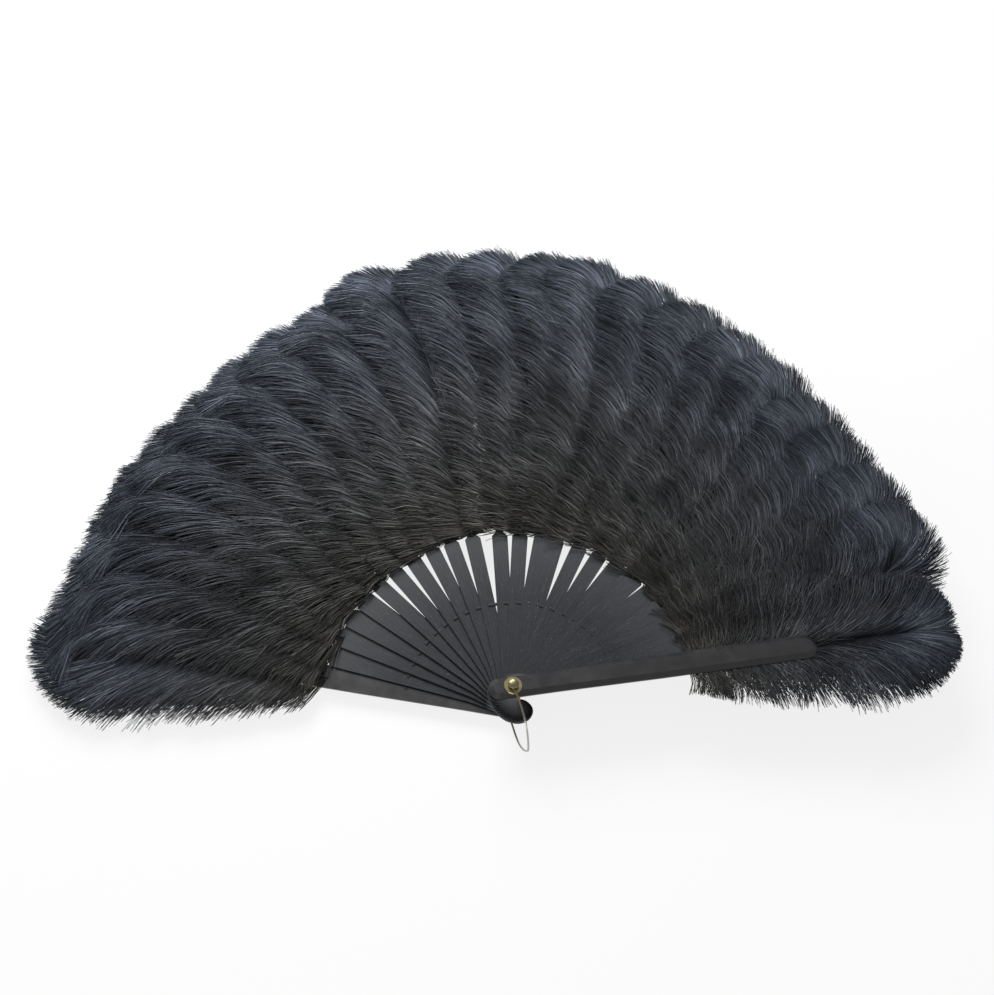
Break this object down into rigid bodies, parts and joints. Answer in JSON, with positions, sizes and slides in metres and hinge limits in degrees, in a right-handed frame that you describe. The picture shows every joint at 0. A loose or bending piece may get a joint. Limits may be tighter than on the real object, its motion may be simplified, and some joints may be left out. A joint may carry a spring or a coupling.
{
  "type": "folding feather fan",
  "caption": "Folding fan of black ostrich plumes on ebonised wooden sticks that turn on a brass rivet, with bevelled guards, a link ribbon and a wire bail.",
  "frame": {"origin": "on the rivet's axis, at the flat back of the rivet, where the fan lies on a table", "axes": "+Z along the rivet out of the fan's front face, +Y along the middle plumes, +X to the front guard's side"},
  "size_m": [0.6514, 0.4287, 0.0501],
  "materials": {
    "ebonised_wood": "satin black stain over fine straight grain",
    "lacquered_wood": "glossy black lacquer",
    "plume": "soft black dyed barbs with a cool sheen",
    "brass": "dulled yellow brass",
    "wire": "bright worn wire, silvered over brass",
    "silk": "narrow black silk ribbon"
  },
  "bodies": {
    "back_guard": {"back_guard": "lacquered_wood", "plume_back_guard": "plume", "rivet": "brass", "washer_back": "brass", "washer_front": "brass", "link_ribbon": "silk"},
    "front_guard": {"front_guard": "lacquered_wood", "plume_front_guard": "plume"},
    "bail": {"bail": "wire"},
    "stick_01": {"stick_01": "ebonised_wood", "plume_01": "plume"},
    "stick_02": {"stick_02": "ebonised_wood", "plume_02": "plume"},
    "stick_03": {"stick_03": "ebonised_wood", "plume_03": "plume"},
    "stick_04": {"stick_04": "ebonised_wood", "plume_04": "plume"},
    "stick_05": {"stick_05": "ebonised_wood", "plume_05": "plume"},
    "stick_06": {"stick_06": "ebonised_wood", "plume_06": "plume"},
    "stick_07": {"stick_07": "ebonised_wood", "plume_07": "plume"},
    "stick_08": {"stick_08": "ebonised_wood", "plume_08": "plume"},
    "stick_09": {"stick_09": "ebonised_wood", "plume_09": "plume"},
    "stick_10": {"stick_10": "ebonised_wood", "plume_10": "plume"},
    "stick_11": {"stick_11": "ebonised_wood", "plume_11": "plume"},
    "stick_12": {"stick_12": "ebonised_wood", "plume_12": "plume"},
    "stick_13": {"stick_13": "ebonised_wood", "plume_13": "plume"},
    "stick_14": {"stick_14": "ebonised_wood", "plume_14": "plume"},
    "stick_15": {"stick_15": "ebonised_wood", "plume_15": "plume"},
    "stick_16": {"stick_16": "ebonised_wood", "plume_16": "plume"},
    "stick_17": {"stick_17": "ebonised_wood", "plume_17": "plume"},
    "stick_18": {"stick_18": "ebonised_wood", "plume_18": "plume"},
    "stick_19": {"stick_19": "ebonised_wood", "plume_19": "plume"},
    "stick_20": {"stick_20": "ebonised_wood", "plume_20": "plume"},
    "stick_21": {"stick_21": "ebonised_wood", "plume_21": "plume"},
    "stick_22": {"stick_22": "ebonised_wood", "plume_22": "plume"}
  },
  "joints": [
    {"name": "fold_front_guard", "type": "hinge", "parent": "back_guard", "child": "front_guard", "pos_m": [0, 0, 0], "axis": [0, 0, 1], "range_deg": [0, 161], "deforming": ["link_ribbon"]},
    {"name": "fold_01", "type": "hinge", "parent": "back_guard", "child": "stick_01", "pos_m": [0, 0, 0], "axis": [0, 0, 1], "range_deg": [0, 7]},
    {"name": "fold_02", "type": "hinge", "parent": "back_guard", "child": "stick_02", "pos_m": [0, 0, 0], "axis": [0, 0, 1], "range_deg": [0, 14]},
    {"name": "fold_03", "type": "hinge", "parent": "back_guard", "child": "stick_03", "pos_m": [0, 0, 0], "axis": [0, 0, 1], "range_deg": [0, 21]},
    {"name": "fold_04", "type": "hinge", "parent": "back_guard", "child": "stick_04", "pos_m": [0, 0, 0], "axis": [0, 0, 1], "range_deg": [0, 28]},
    {"name": "fold_05", "type": "hinge", "parent": "back_guard", "child": "stick_05", "pos_m": [0, 0, 0], "axis": [0, 0, 1], "range_deg": [0, 35]},
    {"name": "fold_06", "type": "hinge", "parent": "back_guard", "child": "stick_06", "pos_m": [0, 0, 0], "axis": [0, 0, 1], "range_deg": [0, 42]},
    {"name": "fold_07", "type": "hinge", "parent": "back_guard", "child": "stick_07", "pos_m": [0, 0, 0], "axis": [0, 0, 1], "range_deg": [0, 49]},
    {"name": "fold_08", "type": "hinge", "parent": "back_guard", "child": "stick_08", "pos_m": [0, 0, 0], "axis": [0, 0, 1], "range_deg": [0, 56]},
    {"name": "fold_09", "type": "hinge", "parent": "back_guard", "child": "stick_09", "pos_m": [0, 0, 0], "axis": [0, 0, 1], "range_deg": [0, 62.5]},
    {"name": "fold_10", "type": "hinge", "parent": "back_guard", "child": "stick_10", "pos_m": [0, 0, 0], "axis": [0, 0, 1], "range_deg": [0, 69.7]},
    {"name": "fold_11", "type": "hinge", "parent": "back_guard", "child": "stick_11", "pos_m": [0, 0, 0], "axis": [0, 0, 1], "range_deg": [0, 78.6]},
    {"name": "fold_12", "type": "hinge", "parent": "back_guard", "child": "stick_12", "pos_m": [0, 0, 0], "axis": [0, 0, 1], "range_deg": [0, 85.2]},
    {"name": "fold_13", "type": "hinge", "parent": "back_guard", "child": "stick_13", "pos_m": [0, 0, 0], "axis": [0, 0, 1], "range_deg": [0, 92.3]},
    {"name": "fold_14", "type": "hinge", "parent": "back_guard", "child": "stick_14", "pos_m": [0, 0, 0], "axis": [0, 0, 1], "range_deg": [0, 97.2]},
    {"name": "fold_15", "type": "hinge", "parent": "back_guard", "child": "stick_15", "pos_m": [0, 0, 0], "axis": [0, 0, 1], "range_deg": [0, 105]},
    {"name": "fold_16", "type": "hinge", "parent": "back_guard", "child": "stick_16", "pos_m": [0, 0, 0], "axis": [0, 0, 1], "range_deg": [0, 112]},
    {"name": "fold_17", "type": "hinge", "parent": "back_guard", "child": "stick_17", "pos_m": [0, 0, 0], "axis": [0, 0, 1], "range_deg": [0, 119]},
    {"name": "fold_18", "type": "hinge", "parent": "back_guard", "child": "stick_18", "pos_m": [0, 0, 0], "axis": [0, 0, 1], "range_deg": [0, 125.5]},
    {"name": "fold_19", "type": "hinge", "parent": "back_guard", "child": "stick_19", "pos_m": [0, 0, 0], "axis": [0, 0, 1], "range_deg": [0, 133.4]},
    {"name": "fold_20", "type": "hinge", "parent": "back_guard", "child": "stick_20", "pos_m": [0, 0, 0], "axis": [0, 0, 1], "range_deg": [0, 139.8]},
    {"name": "fold_21", "type": "hinge", "parent": "back_guard", "child": "stick_21", "pos_m": [0, 0, 0], "axis": [0, 0, 1], "range_deg": [0, 147.2]},
    {"name": "fold_22", "type": "hinge", "parent": "back_guard", "child": "stick_22", "pos_m": [0, 0, 0], "axis": [0, 0, 1], "range_deg": [0, 154]},
    {"name": "bail_swing", "type": "hinge", "parent": "back_guard", "child": "bail", "pos_m": [0, 0, 0], "axis": [0, 0, 1], "range_deg": [-95, 62]}
  ],
  "couplings": [
    {"joint": "fold_01", "follows": "fold_front_guard", "ratio": 0.043478},
    {"joint": "fold_02", "follows": "fold_front_guard", "ratio": 0.086957},
    {"joint": "fold_03", "follows": "fold_front_guard", "ratio": 0.13043},
    {"joint": "fold_04", "follows": "fold_front_guard", "ratio": 0.17391},
    {"joint": "fold_05", "follows": "fold_front_guard", "ratio": 0.21739},
    {"joint": "fold_06", "follows": "fold_front_guard", "ratio": 0.26087},
    {"joint": "fold_07", "follows": "fold_front_guard", "ratio": 0.30435},
    {"joint": "fold_08", "follows": "fold_front_guard", "ratio": 0.34783},
    {"joint": "fold_09", "follows": "fold_front_guard", "ratio": 0.3882},
    {"joint": "fold_10", "follows": "fold_front_guard", "ratio": 0.43292},
    {"joint": "fold_11", "follows": "fold_front_guard", "ratio": 0.4882},
    {"joint": "fold_12", "follows": "fold_front_guard", "ratio": 0.52919},
    {"joint": "fold_13", "follows": "fold_front_guard", "ratio": 0.57329},
    {"joint": "fold_14", "follows": "fold_front_guard", "ratio": 0.60373},
    {"joint": "fold_15", "follows": "fold_front_guard", "ratio": 0.65217},
    {"joint": "fold_16", "follows": "fold_front_guard", "ratio": 0.69565},
    {"joint": "fold_17", "follows": "fold_front_guard", "ratio": 0.73913},
    {"joint": "fold_18", "follows": "fold_front_guard", "ratio": 0.7795},
    {"joint": "fold_19", "follows": "fold_front_guard", "ratio": 0.82857},
    {"joint": "fold_20", "follows": "fold_front_guard", "ratio": 0.86832},
    {"joint": "fold_21", "follows": "fold_front_guard", "ratio": 0.91429},
    {"joint": "fold_22", "follows": "fold_front_guard", "ratio": 0.95652}
  ]
}
